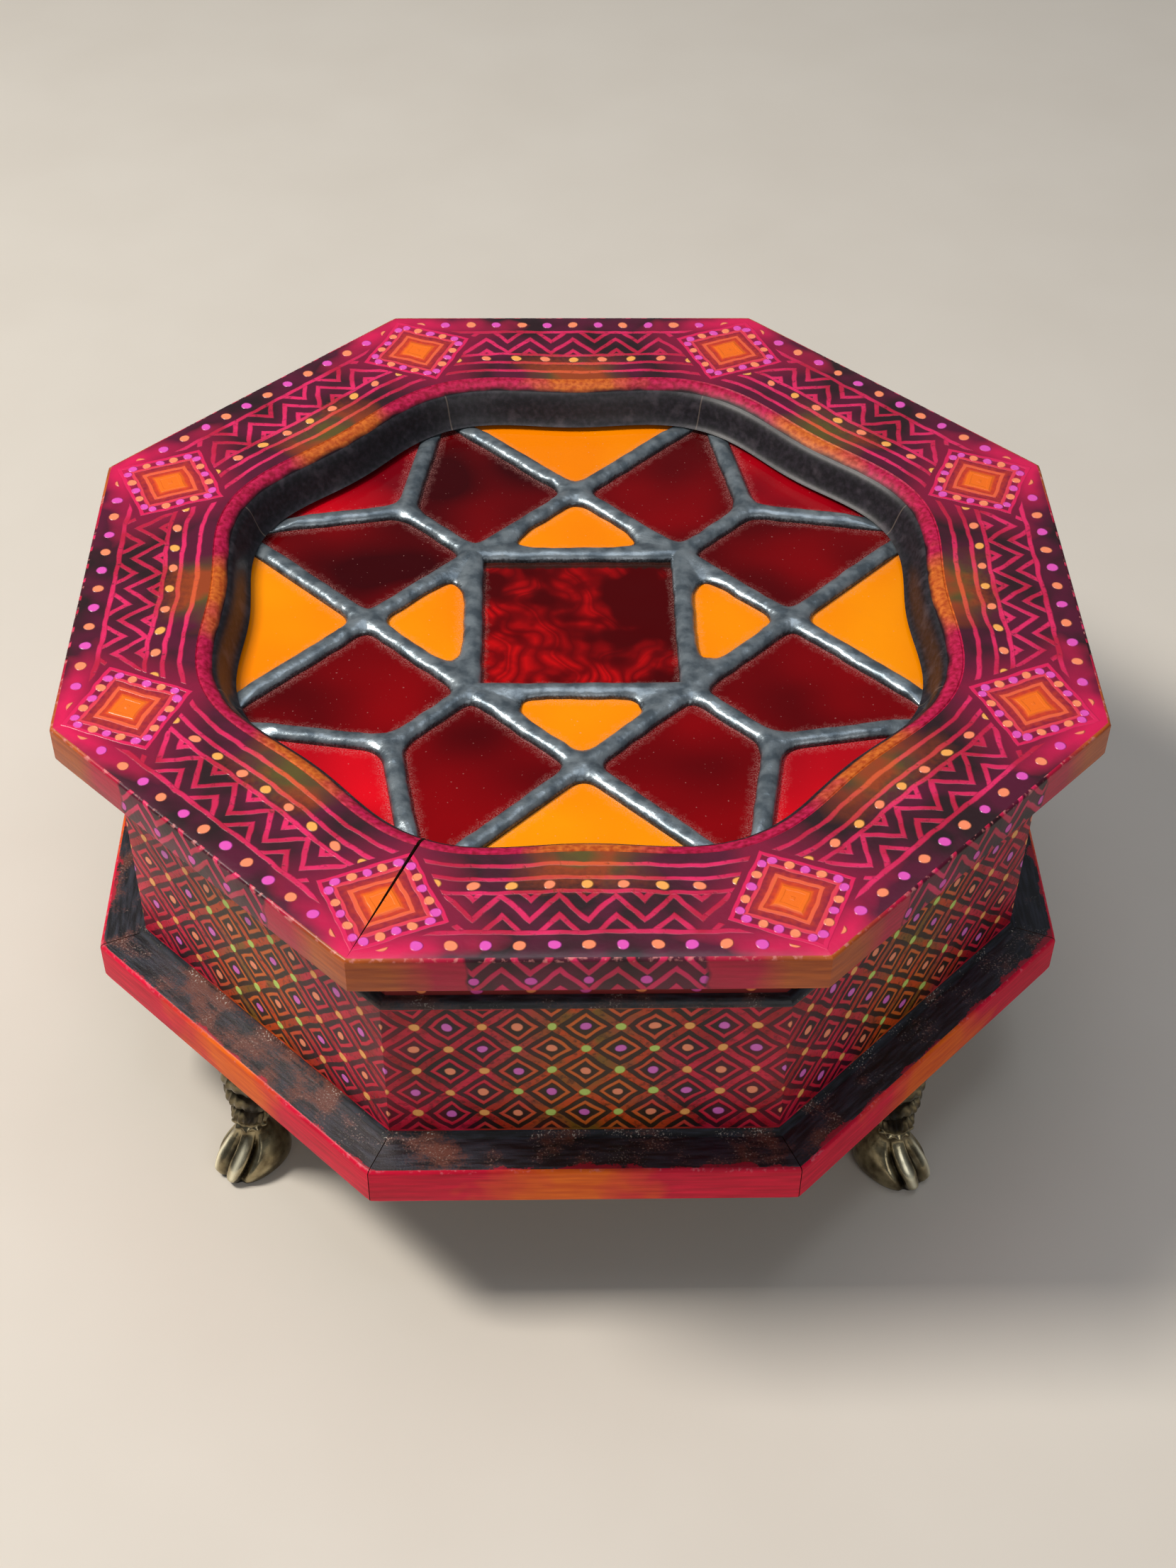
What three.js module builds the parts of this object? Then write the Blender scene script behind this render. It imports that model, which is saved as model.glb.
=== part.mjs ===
// Octagonal wooden jewelry box on four cast claw feet. A painted frame of mitred
// boards forms the lid and holds a leaded panel of amber and ruby glass. The lid
// lifts off: a rim under its frame stands on the walls and reaches down inside them.
// Millimetres, +Z up, origin on the standing surface under the middle of the box,
// front towards -Y.

import * as THREE from 'three';
import { mergeVertices } from 'three/addons/utils/BufferGeometryUtils.js';

// Clearances between pieces
const jointGap = 0.3;
const lidPlay = 0.4;

// Body: eight walls on a moulded base
const bodyAcrossFlats = 224.8;
const wallThickness = 9;
const wallHeight = 46.9;
const wallTopRound = 2;
const wallFootFillet = 1.8;
const baseThickness = 12;
const baseProjection = 11.45;
const baseTopRound = 0.8;
const baseBottomRound = 2.2;
const baseWidth = 25.85;
const bottomThickness = 6;
const bottomTuck = 2.6;

// Lid: a frame of eight boards, and a rim of eight boards below it
const lidThickness = 10;
const lidOverhang = 12.6;
const lidArris = 0.5;
const frameWidth = 30;
const openingWave = 2.8;
const bandWidth = 3.4;
const bandDrop = 1.8;
const mouldingWidth = 5.1;
const rimHeight = 18.4;
const rimInset = 2.9;
const ledgeWidth = 4.7;
const tongueDepth = 3;

// Leaded panel: glass between strips of lead came
const panelLap = 5.7;
const cameWidth = 5;
const cameHeight = 5.2;
const heartWidth = 1.2;
const flangeEdge = 0.5;
const glassThickness = 2.8;
const solderWeb = 2.4;
const backShare = 0.3;

// Claw feet
const footHeight = 37.8;
const footSetback = 5.85;
const footSlip = -3;
const pawLength = 21.3;
const pawWidth = 15.6;
const ankleWidth = 7;
const ankleDepth = 7.4;
const bracketWidth = 34;
const bracketDepth = 20;
const toeRelief = 1.8;
const leafRelief = 2;

const SIDES = 8;
const halfSide = Math.PI / SIDES;
const boardSteps = 10;
const bandSteps = 2;
const ogeeSteps = 6;
const ogeeSwell = 0.1;
const footRound = 24;
const footLevels = 17;

// Levels and apothems that follow from the sizes
const bodyApothem = bodyAcrossFlats / 2;
const wallInner = bodyApothem - wallThickness;
const baseApothem = bodyApothem + baseProjection;
const baseInner = baseApothem - baseWidth;
const baseBottom = footHeight + jointGap;
const baseTop = baseBottom + baseThickness;
const wallBottom = baseTop + jointGap;
const wallTop = wallBottom + wallHeight;
const rimBottom = wallTop + jointGap;
const rimTop = rimBottom + rimHeight;
const frameBottom = rimTop + jointGap;
const frameTop = frameBottom + lidThickness;
const lidApothem = bodyApothem + lidOverhang;
const openingRadius = lidApothem - frameWidth;
const openingFoot = openingRadius - bandWidth - mouldingWidth;
const panelApothem = openingFoot + panelLap;
const panelTop = frameBottom - jointGap;
const panelBottom = panelTop - cameHeight;
const panelMiddle = (panelTop + panelBottom) / 2;

// Colours from the photograph, with each finish's roughness and metalness
const finish = (color, roughness, metalness = 0) =>
  new THREE.MeshStandardMaterial({ color, roughness, metalness });
const finishes = {
  framePaint: finish(0xa01c50, 0.38),
  rimPaint: finish(0x7c1640, 0.42),
  wallPaint: finish(0x8a1238, 0.4),
  baseStain: finish(0x2a1c22, 0.35),
  bareWood: finish(0x8a6444, 0.7),
  amberGlass: finish(0xf28a0c, 0.12),
  rubyGlass: finish(0x6a0408, 0.1),
  cherryGlass: finish(0xc8141e, 0.12),
  lead: finish(0x7d8084, 0.42, 0.9),
  antiqueBrass: finish(0x7a6a48, 0.38, 0.95),
};

const group = new THREE.Group();

function addPiece(name, geometry, material, turn = 0) {
  const mesh = new THREE.Mesh(geometry, material);
  mesh.name = name;
  mesh.rotation.z = turn;
  group.add(mesh);
  return mesh;
}

// A closed surface from points and triangles, turned so that its faces point out
function closedSurface(points, triangles) {
  let volume = 0;
  for (const [a, b, c] of triangles) {
    volume += points[a].dot(new THREE.Vector3().crossVectors(points[b], points[c]));
  }
  const order = volume < 0 ? triangles.map(([a, b, c]) => [a, c, b]) : triangles;
  const geometry = new THREE.BufferGeometry();
  geometry.setAttribute('position', new THREE.Float32BufferAttribute(
    points.flatMap((p) => [p.x, p.y, p.z]), 3));
  geometry.setIndex(order.flat());
  return geometry;
}

// Joins a row of sections with the same number of points each. A ring joins its
// last section to its first, and any other row gets a flat cap at both ends.
function loft(sections, capOutline = null) {
  const count = sections[0].length;
  const ring = capOutline === null;
  const triangles = [];
  const last = ring ? sections.length : sections.length - 1;
  for (let s = 0; s < last; s += 1) {
    const here = s * count;
    const next = ((s + 1) % sections.length) * count;
    for (let i = 0; i < count; i += 1) {
      const j = (i + 1) % count;
      triangles.push([here + i, here + j, next + j], [here + i, next + j, next + i]);
    }
  }
  if (!ring) {
    const end = (sections.length - 1) * count;
    for (const [a, b, c] of THREE.ShapeUtils.triangulateShape(capOutline, [])) {
      triangles.push([a, c, b], [end + a, end + b, end + c]);
    }
  }
  return closedSurface(sections.flat(), triangles);
}

const onRay = (angle, radius, z) =>
  new THREE.Vector3(radius * Math.cos(angle), radius * Math.sin(angle), z);

const faceTurn = (side) => side * 2 * halfSide - Math.PI / 2;

// Points of an arc in a board's section, as apothem and level
function arc(centre, level, radius, from, to, steps) {
  return Array.from({ length: steps + 1 }, (_, i) => {
    const angle = from + (to - from) * i / steps;
    return [centre + radius * Math.cos(angle), level + radius * Math.sin(angle)];
  });
}

// One of eight mitred boards. Its section is a list of [apothem, level] points,
// and section(angle) may bend the inner edge with the angle along the board.
function mitredBoard(section, innerApothem, steps = 1) {
  const endAngle = halfSide - Math.asin(jointGap / 2 / innerApothem);
  const sections = [];
  for (let s = 0; s <= steps; s += 1) {
    const angle = endAngle * (2 * s / steps - 1);
    sections.push(section(angle).map(([apothem, z]) =>
      onRay(angle, apothem / Math.cos(angle), z)));
  }
  const outline = section(0).map(([apothem, z]) => new THREE.Vector2(apothem, z));
  return loft(sections, outline);
}

const sideNames = ['front', 'front_right', 'right', 'back_right',
  'back', 'back_left', 'left', 'front_left'];

function eightBoards(name, geometry, material) {
  sideNames.forEach((side, i) => {
    addPiece(`${name}_${side}`, geometry, material, faceTurn(i));
  });
}

// Walls, with a worn round arris on top and a small cove at the foot
function wallSection() {
  const round = Math.min(wallTopRound, wallThickness / 3);
  const cove = Math.min(wallFootFillet, baseProjection / 2);
  return [
    [wallInner, wallBottom],
    ...arc(bodyApothem + cove, wallBottom + cove, cove, -Math.PI / 2, -Math.PI, 3),
    ...arc(bodyApothem - round, wallTop - round, round, 0, Math.PI / 2, 3),
    [wallInner, wallTop],
  ];
}
eightBoards('wall', mitredBoard(wallSection, wallInner), finishes.wallPaint);

// Base moulding, rebated inside for the bottom panel
const rebateApothem = wallInner + bottomTuck;
const rebateLevel = baseTop - bottomThickness - jointGap;
function baseSection() {
  const low = Math.min(baseBottomRound, baseThickness / 3);
  const high = Math.min(baseTopRound, baseThickness / 3);
  return [
    [baseInner, baseBottom],
    ...arc(baseApothem - low, baseBottom + low, low, -Math.PI / 2, 0, 4),
    ...arc(baseApothem - high, baseTop - high, high, 0, Math.PI / 2, 2),
    [rebateApothem, baseTop],
    [rebateApothem, rebateLevel],
    [baseInner, rebateLevel],
  ];
}
eightBoards('base_moulding', mitredBoard(baseSection, baseInner), finishes.baseStain);

// Closes an outline of plan points into a plate between two levels
function plate(outline, bottom, top) {
  const shape = new THREE.Shape(outline.map(([x, y]) => new THREE.Vector2(x, y)));
  const geometry = new THREE.ExtrudeGeometry(shape, { depth: top - bottom, bevelEnabled: false });
  geometry.translate(0, 0, bottom);
  geometry.deleteAttribute('normal');
  geometry.deleteAttribute('uv');
  return mergeVertices(geometry, 1e-4);
}

function octagon(apothem) {
  const radius = apothem / Math.cos(halfSide);
  return Array.from({ length: SIDES }, (_, i) => {
    const angle = (2 * i + 1) * halfSide;
    return [radius * Math.cos(angle), radius * Math.sin(angle)];
  });
}

addPiece('bottom_panel',
  plate(octagon(rebateApothem - jointGap), rebateLevel + jointGap, baseTop),
  finishes.bareWood);

// Lid frame. The opening swings out towards each corner and in at each side, and
// its edge falls in a rounded painted band and then in an ogee down to the glass.
const shares = (steps) => Array.from({ length: steps + 1 }, (_, i) => i / steps);
const openingAt = (angle) => openingRadius - openingWave * Math.cos(SIDES * angle);

function frameSection(angle) {
  const toApothem = Math.cos(angle);
  const edge = openingAt(angle);
  const band = shares(bandSteps).map((share) =>
    [(edge - share * bandWidth) * toApothem, frameTop - share ** 2 * bandDrop]);
  const ogee = shares(ogeeSteps).map((share) => {
    const fall = share - ogeeSwell * Math.sin(2 * Math.PI * share);
    return [
      (edge - bandWidth - share * mouldingWidth) * toApothem,
      frameTop - bandDrop - fall * (lidThickness - bandDrop),
    ];
  });
  return [
    [lidApothem, frameBottom],
    [lidApothem, frameTop - lidArris],
    [lidApothem - lidArris, frameTop],
    ...band,
    ...ogee.slice(1),
  ];
}
const frameInner = openingFoot - openingWave;
eightBoards('lid_frame', mitredBoard(frameSection, frameInner, boardSteps), finishes.framePaint);

// Lid rim, with a ledge that carries the panel and a tongue inside the walls
const panelEdge = panelApothem + cameWidth / 2;
const ledgeApothem = panelEdge + jointGap;
const rimInner = ledgeApothem - ledgeWidth - jointGap;
function rimSection() {
  const rimOuter = bodyApothem - rimInset;
  const tongueOuter = wallInner - lidPlay;
  const ledgeLevel = panelBottom - jointGap;
  return [
    [rimInner, rimBottom - tongueDepth],
    [tongueOuter, rimBottom - tongueDepth],
    [tongueOuter, rimBottom],
    [rimOuter, rimBottom],
    [rimOuter, rimTop],
    [ledgeApothem, rimTop],
    [ledgeApothem, ledgeLevel],
    [rimInner, ledgeLevel],
  ];
}
eightBoards('lid_rim', mitredBoard(rimSection, rimInner), finishes.rimPaint);

// Panel layout. Long leads join every third corner of the octagon, four of their
// crossings are the corners of the middle square, and a stem from each of these
// forks into two branches that end in the octagon's corners.
const corner = panelApothem * Math.tan(halfSide);
const square = (panelApothem - corner) / 2;
const fork = panelApothem / 2;
const quarter = ([x, y], turns) => {
  let point = [x, y];
  for (let i = 0; i < turns; i += 1) point = [-point[1], point[0]];
  return point;
};

// Each edge of an outline moved inwards by its own distance
function inset(points, distances) {
  const lines = points.map(([x, y], i) => {
    const [u, v] = points[(i + 1) % points.length];
    const length = Math.hypot(u - x, v - y);
    const [dx, dy] = [(u - x) / length, (v - y) / length];
    return [x - dy * distances[i], y + dx * distances[i], dx, dy];
  });
  return lines.map(([x, y, dx, dy], i) => {
    const [u, v, du, dv] = lines[(i + lines.length - 1) % lines.length];
    const along = ((u - x) * dv - (v - y) * du) / (dx * dv - dy * du);
    return [x + along * dx, y + along * dy];
  });
}

const leadSide = heartWidth / 2 + jointGap;
const borderSide = heartWidth + jointGap - cameWidth / 2;
const glassBottom = panelMiddle - glassThickness / 2;
const glassTop = panelMiddle + glassThickness / 2;

// Each opening between the leads, with the number of its edge on the border, if any
const openings = [];
function addGlass(name, points, material, border = null) {
  const distances = points.map((_, i) => (i === border ? borderSide : leadSide));
  addPiece(name, plate(inset(points, distances), glassBottom, glassTop), material);
  openings.push({ points, border });
}

const quarterNames = ['back', 'left', 'front', 'right'];
const diagonalNames = ['back_right', 'back_left', 'front_left', 'front_right'];

addGlass('glass_centre', [0, 1, 2, 3].map((turn) => quarter([square, square], turn)),
  finishes.rubyGlass);

for (let turn = 0; turn < 4; turn += 1) {
  const placed = (points) => points.map((point) => quarter(point, turn));
  const side = quarterNames[turn];
  const diagonal = diagonalNames[turn];
  addGlass(`glass_amber_inner_${side}`,
    placed([[square, square], [0, 2 * square], [-square, square]]),
    finishes.amberGlass);
  addGlass(`glass_amber_outer_${side}`,
    placed([[0, 2 * square], [corner, panelApothem], [-corner, panelApothem]]),
    finishes.amberGlass, 1);
  addGlass(`glass_ruby_${diagonal}_1`,
    placed([[square, square], [2 * square, 0], [panelApothem, corner], [fork, fork]]),
    finishes.rubyGlass);
  addGlass(`glass_ruby_${diagonal}_2`,
    placed([[square, square], [fork, fork], [corner, panelApothem], [0, 2 * square]]),
    finishes.rubyGlass);
  addGlass(`glass_cherry_${diagonal}`,
    placed([[fork, fork], [panelApothem, corner], [corner, panelApothem]]),
    finishes.cherryGlass, 1);
}

// Lead lattice: every came has a heart between two flanges with rounded backs, and
// all of them are soldered into one web round the glasses. The web is worked out
// as rows of outlines, one row for each level where its section turns. Each row
// says how far the lead reaches from its middle line towards a glass, towards a
// glass on the border, and out to the rim.
const channelTop = glassThickness / 2 + jointGap;
const halfHeight = cameHeight / 2;
const shoulder = Math.min(channelTop + flangeEdge, halfHeight);
const half = cameWidth / 2;
const back = cameWidth * backShare;
const lowerRows = [
  { level: -halfHeight, side: back, borderSide: back, rim: back, web: solderWeb },
  { level: -shoulder, side: half, borderSide: half, rim: half, web: solderWeb },
  { level: -channelTop, side: half, borderSide: half, rim: half, web: solderWeb },
  { level: -channelTop, side: heartWidth / 2, borderSide: heartWidth - half, rim: half,
    web: jointGap },
];
const webRows = [...lowerRows,
  ...lowerRows.toReversed().map((row) => ({ ...row, level: -row.level }))];

// Solder fills the corners of each opening, so every corner is cut straight across
function cutCorners(points, web) {
  return points.flatMap(([x, y], i) => {
    const near = points[(i + points.length - 1) % points.length];
    const far = points[(i + 1) % points.length];
    return [near, far].map(([u, v]) => {
      const length = Math.hypot(u - x, v - y);
      const share = Math.min(web, length / 3) / length;
      return [x + (u - x) * share, y + (v - y) * share];
    });
  });
}

function leadLattice() {
  const points = [];
  const triangles = [];
  const caps = { first: [], last: [] };
  const addWall = (rings) => {
    const start = points.length;
    const count = rings[0].length;
    rings.flat().forEach((point) => points.push(point));
    for (let row = 0; row < rings.length - 1; row += 1) {
      for (let i = 0; i < count; i += 1) {
        const [a, b] = [start + row * count + i, start + row * count + (i + 1) % count];
        triangles.push([a, b, b + count], [a, b + count, a + count]);
      }
    }
    caps.first.push({ start, ring: rings[0] });
    caps.last.push({ start: start + (rings.length - 1) * count, ring: rings.at(-1) });
  };
  const lift = (outline, level) =>
    outline.map(([x, y]) => new THREE.Vector3(x, y, panelMiddle + level));
  addWall(webRows.map(({ level, rim }) => lift(octagon(panelApothem + rim), level)));
  for (const { points: opening, border } of openings) {
    addWall(webRows.map(({ level, side, borderSide, web }) => {
      const sides = opening.map((_, i) => (i === border ? borderSide : side));
      return lift(cutCorners(inset(opening, sides), web), level).toReversed();
    }));
  }
  for (const [rings, turned] of [[caps.first, true], [caps.last, false]]) {
    const flat = rings.map(({ ring }) => ring.map((p) => new THREE.Vector2(p.x, p.y)));
    const ids = rings.flatMap(({ start, ring }) => ring.map((_, i) => start + i));
    for (const [a, b, c] of THREE.ShapeUtils.triangulateShape(flat[0], flat.slice(1))) {
      const face = [ids[a], ids[b], ids[c]];
      triangles.push(turned ? face.toReversed() : face);
    }
  }
  return closedSurface(points, triangles);
}
addPiece('lead_lattice', leadLattice(), finishes.lead);

// Claw foot, lofted upwards. Each station gives its share of the height, how far
// its middle stands out, and its depth and width. Rounding is the exponent of the
// section's super ellipse: 2 is an ellipse, and less is nearer a diamond. The feet
// stand a little to one side of their boards' middles, as on the real box.
const stations = [
  { up: 0, out: 0.2, depth: pawLength * 0.96, width: pawWidth * 0.94, rounding: 2.2 },
  { up: 0.08, out: 0.3, depth: pawLength, width: pawWidth, rounding: 2.2 },
  { up: 0.16, out: 0, depth: pawLength * 0.92, width: pawWidth * 0.97, rounding: 2.1 },
  { up: 0.25, out: -0.3, depth: pawLength * 0.68, width: pawWidth * 0.78, rounding: 2 },
  { up: 0.32, out: -0.4, depth: ankleDepth * 1.4, width: ankleWidth * 1.3, rounding: 2 },
  { up: 0.38, out: -0.3, depth: ankleDepth, width: ankleWidth, rounding: 2 },
  { up: 0.45, out: -0.2, depth: ankleDepth * 1.05, width: ankleWidth * 1.12, rounding: 1.9 },
  { up: 0.58, out: -1, depth: bracketDepth * 0.46, width: bracketWidth * 0.31, rounding: 1.8 },
  { up: 0.72, out: -2, depth: bracketDepth * 0.61, width: bracketWidth * 0.49, rounding: 1.7 },
  { up: 0.88, out: -3.9, depth: bracketDepth * 0.83, width: bracketWidth * 0.77, rounding: 1.5 },
  { up: 1, out: -5.4, depth: bracketDepth, width: bracketWidth, rounding: 1.4 },
];

// A smooth value between the stations, by cubic steps with flat-free slopes
function stationAt(up) {
  const last = stations.length - 1;
  let i = 0;
  while (i < last - 1 && stations[i + 1].up < up) i += 1;
  const [a, b] = [stations[i], stations[i + 1]];
  const before = stations[Math.max(i - 1, 0)];
  const after = stations[Math.min(i + 2, last)];
  const t = (up - a.up) / (b.up - a.up);
  const span = b.up - a.up;
  const blend = (key) => {
    const slopeA = (b[key] - before[key]) / (b.up - before.up) * span;
    const slopeB = (after[key] - a[key]) / (after.up - a.up) * span;
    return (2 * t ** 3 - 3 * t ** 2 + 1) * a[key] + (t ** 3 - 2 * t ** 2 + t) * slopeA
      + (3 * t ** 2 - 2 * t ** 3) * b[key] + (t ** 3 - t ** 2) * slopeB;
  };
  return { out: blend('out'), depth: blend('depth'), width: blend('width'),
    rounding: blend('rounding') };
}

// A groove down the middle parts the two toes, and one on each side, which swings
// forward on its way down, parts a toe from the paw's side. Leaf tips stand out in
// three steps at the bracket's front, back and sides.
const grooveWidth = Math.PI / 20;
const ramp = (value, from, to) => Math.max(0, Math.min(1, (value - from) / (to - from)));
const dip = (distance) => Math.exp(-((distance / grooveWidth) ** 2));

function footRelief(angle, up) {
  const aside = Math.abs(Math.atan2(Math.sin(angle), Math.cos(angle)));
  const sideGroove = 0.6 + 0.6 * ramp(up, 0.03, 0.36);
  const paw = ramp(up, 0.38, 0.24);
  const step = Math.abs(Math.sin(3 * Math.PI * ramp(up, 0.45, 1)));
  return leafRelief * ramp(up, 0.45, 0.52) * (step - 0.5) * (1 + Math.cos(4 * angle)) / 2
    - toeRelief * paw * (0.8 * dip(aside) + dip(aside - sideGroove));
}

function footGeometry() {
  const sections = [];
  for (let level = 0; level <= footLevels; level += 1) {
    const up = level / footLevels;
    const station = stationAt(up);
    const middle = baseApothem - footSetback + station.out;
    const section = [];
    for (let i = 0; i < footRound; i += 1) {
      const angle = 2 * Math.PI * i / footRound;
      const [c, s] = [Math.cos(angle), Math.sin(angle)];
      const power = 2 / station.rounding;
      const relief = footRelief(angle, up);
      section.push(new THREE.Vector3(
        middle + Math.sign(c) * Math.abs(c) ** power * station.depth / 2 + relief * c,
        footSlip + Math.sign(s) * Math.abs(s) ** power * station.width / 2 + relief * s,
        up * footHeight,
      ));
    }
    sections.push(section);
  }
  const outline = sections[0].map((p) => new THREE.Vector2(p.x, p.y));
  return loft(sections, outline);
}
const foot = footGeometry();
[1, 3, 5, 7].forEach((side) => {
  addPiece(`claw_foot_${sideNames[side]}`, foot, finishes.antiqueBrass, faceTurn(side));
});

export default group;
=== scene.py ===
"""An octagonal painted jewelry box on claw feet, with a leaded panel in its lift-off lid."""

import math

import bmesh
import bpy
import numpy as np
from mathutils import Matrix, Vector


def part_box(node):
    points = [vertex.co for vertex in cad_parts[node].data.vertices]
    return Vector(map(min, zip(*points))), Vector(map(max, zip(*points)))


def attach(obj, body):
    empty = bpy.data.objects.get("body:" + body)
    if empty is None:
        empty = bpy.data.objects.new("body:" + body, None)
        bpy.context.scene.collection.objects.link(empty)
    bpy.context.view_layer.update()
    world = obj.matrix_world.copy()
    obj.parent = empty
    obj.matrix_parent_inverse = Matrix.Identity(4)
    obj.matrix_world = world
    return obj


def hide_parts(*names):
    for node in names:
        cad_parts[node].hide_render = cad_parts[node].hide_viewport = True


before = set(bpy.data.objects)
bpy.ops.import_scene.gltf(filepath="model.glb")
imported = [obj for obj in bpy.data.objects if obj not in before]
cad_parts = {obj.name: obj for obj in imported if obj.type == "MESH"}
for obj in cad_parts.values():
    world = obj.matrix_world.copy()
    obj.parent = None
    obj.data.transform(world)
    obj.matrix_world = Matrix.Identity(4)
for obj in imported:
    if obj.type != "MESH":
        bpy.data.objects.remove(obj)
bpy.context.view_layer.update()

# Bottom panel: an octagonal board let into the base moulding from above. It is
# planed softwood, left bare, and the inside of the box looks down on it.

MM = 0.001


def node_box(name):
    """The lowest and highest corners of a CAD node, in millimetres."""
    return [np.array(corner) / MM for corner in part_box(name)]


def srgb(red, green, blue):
    """A colour as the eye reads it, 0 to 255, turned into the shader's light values."""
    share = np.array([red, green, blue]) / 255
    light = np.where(share <= 0.04045, share / 12.92, ((share + 0.055) / 1.055) ** 2.4)
    return (*light.tolist(), 1.0)


class Number:
    """A number that varies over a surface: arithmetic on it adds the Math nodes."""

    def __init__(self, finish, socket):
        self.finish, self.socket = finish, socket

    def math(self, operation, *others, clamp=False):
        made = self.finish.node("Math", {"operation": operation, "use_clamp": clamp},
                                dict(enumerate((self, *others))))
        return Number(self.finish, made.outputs[0])

    def __add__(self, other):
        return self.math("ADD", other)

    def __sub__(self, other):
        return self.math("SUBTRACT", other)

    def __rsub__(self, other):
        return self.math("MULTIPLY_ADD", -1, other)

    def __mul__(self, other):
        return self.math("MULTIPLY", other)

    def __truediv__(self, other):
        return self.math("DIVIDE", other)

    def __mod__(self, other):
        return self.math("FLOORED_MODULO", other)

    def __abs__(self):
        return self.math("ABSOLUTE")

    __radd__, __rmul__ = __add__, __mul__

    def low(self, other):
        return self.math("MINIMUM", other)

    def high(self, other):
        return self.math("MAXIMUM", other)

    def cos(self):
        return self.math("COSINE")

    def length(self, other):
        """The long side of the right triangle over this number and another."""
        return (self * self + other * other).math("SQRT")

    def ramp(self, zero, one):
        """0 where the number is zero, 1 where it is one, straight between and held beyond."""
        return self.math("MULTIPLY_ADD", 1 / (one - zero), -zero / (one - zero), clamp=True)

    def near(self, width, soft=0.16):
        """1 where the number is within half a width of 0, with a soft edge."""
        return abs(self).ramp(width / 2 + soft, width / 2 - soft)

    def repeat(self, pitch):
        """How far the number is past the nearest whole multiple of the pitch."""
        return (self + pitch / 2) % pitch - pitch / 2

    def odd(self, pitch):
        """1 where the nearest whole multiple of the pitch is an odd one, else 0."""
        return (self / pitch + 0.5).math("FLOOR") % 2


class Finish:
    """One material: a surface shader, with constants on its own sockets, and its nodes."""

    def __init__(self, name, **constants):
        self.material = bpy.data.materials.new(name)
        self.material.use_nodes = True
        self.tree = self.material.node_tree
        self.shader = self.tree.nodes["Principled BSDF"]
        self.place = self.node("VectorMath", {"operation": "SCALE"}, {
            0: self.node("TexCoord").outputs["Object"], "Scale": 1 / MM}).outputs[0]
        self.wear(**constants)

    def node(self, kind, settings=None, inputs=None):
        """Adds a node of a kind, sets it up, and then gives its sockets values or links."""
        made = self.tree.nodes.new("ShaderNode" + kind)
        for key, value in (settings or {}).items():
            setattr(made, key, value)
        for key, value in (inputs or {}).items():
            self.feed(made.inputs[key], value)
        return made

    def feed(self, socket, value):
        value = value.socket if isinstance(value, Number) else value
        if isinstance(value, bpy.types.NodeSocket):
            self.tree.links.new(value, socket)
        else:
            socket.default_value = value

    def wear(self, **values):
        """Gives the shader's sockets their values, named with _ in place of a space."""
        for key, value in values.items():
            self.feed(self.shader.inputs[key.replace("_", " ")], value)
        return self

    def noise(self, size, detail=2.0, stretch=None, place=None):
        """Cloudy noise, 0 to 1, with blots of a size in millimetres, stretched along axes."""
        at = self.place if place is None else place
        if stretch:
            at = self.node("VectorMath", {"operation": "MULTIPLY"}, {0: at, 1: stretch}).outputs[0]
        made = self.node("TexNoise", None, {"Vector": at, "Scale": 1 / size, "Detail": detail})
        return Number(self, made.outputs["Fac"])

    def mix(self, first, second, share):
        """A colour between two others."""
        made = self.node("Mix", {"data_type": "RGBA"}, {0: share, 6: first, 7: second})
        return made.outputs[2]

    def axes(self, place=None):
        """The three numbers of a place, the object's own in millimetres if none is given."""
        parts = self.node("SeparateXYZ", None, {0: self.place if place is None else place})
        return [Number(self, socket) for socket in parts.outputs]

    def field(self, name):
        """Three numbers that the mesh holds at each of its points."""
        return self.node("Attribute", {"attribute_name": name}).outputs["Vector"]

    def bump(self, height, depth):
        """Normal for a height of 0 to 1, with its depth in millimetres."""
        return self.node("Bump", None, {"Strength": 1.0, "Distance": depth * MM,
                                        "Height": height}).outputs[0]


def wood_finish(name, early, late, stretch, grain=1.6):
    """Planed wood: bands of early and late growth run along the stretched axis."""
    finish = Finish(name, Roughness=0.62)
    rings = finish.noise(grain, 3.0, stretch)
    pores = finish.noise(0.35, 2.0, stretch)
    colour = finish.mix(srgb(*early), srgb(*late), rings.ramp(0.35, 0.65))
    dark = srgb(*[0.6 * part for part in late])
    colour = finish.mix(colour, dark, pores.ramp(0.6, 0.75) * 0.5)
    return finish.wear(Base_Color=colour, Normal=finish.bump(pores, 0.05))


def dress(node, finish):
    """Gives a CAD node a finish, on all its material slots."""
    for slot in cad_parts[node].material_slots:
        slot.material = finish.material


bare_wood = wood_finish("bare_wood", (190, 152, 108), (150, 108, 68), (1, 0.06, 1))
dress("bottom_panel", bare_wood)

# Base moulding: eight mitred boards with soft rounded edges. The top is stained
# black and rubbed through to brown in places, and the outer edge is painted.

SIDE_NAMES = ["front", "front_right", "right", "back_right",
              "back", "back_left", "left", "front_left"]
HALF_SIDE = math.pi / 8
STEPS_ALONG = 49
side_angle = np.linspace(-HALF_SIDE, HALF_SIDE, STEPS_ALONG)


def octagon(apothem, rounding=1.2):
    """The octagon's distance from the axis at each angle along a side. Near a corner it
    follows the circle of the rounding that touches both sides."""
    centre = (apothem - rounding) / math.cos(HALF_SIDE)
    off = HALF_SIDE - np.abs(side_angle)
    inside = np.maximum(rounding ** 2 - (centre * np.sin(off)) ** 2, 0)
    rounded = centre * np.cos(off) + np.sqrt(inside)
    touch = HALF_SIDE - math.atan((apothem - rounding) * math.tan(HALF_SIDE) / apothem)
    return np.where(off < touch, rounded, apothem / np.cos(side_angle))


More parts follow.
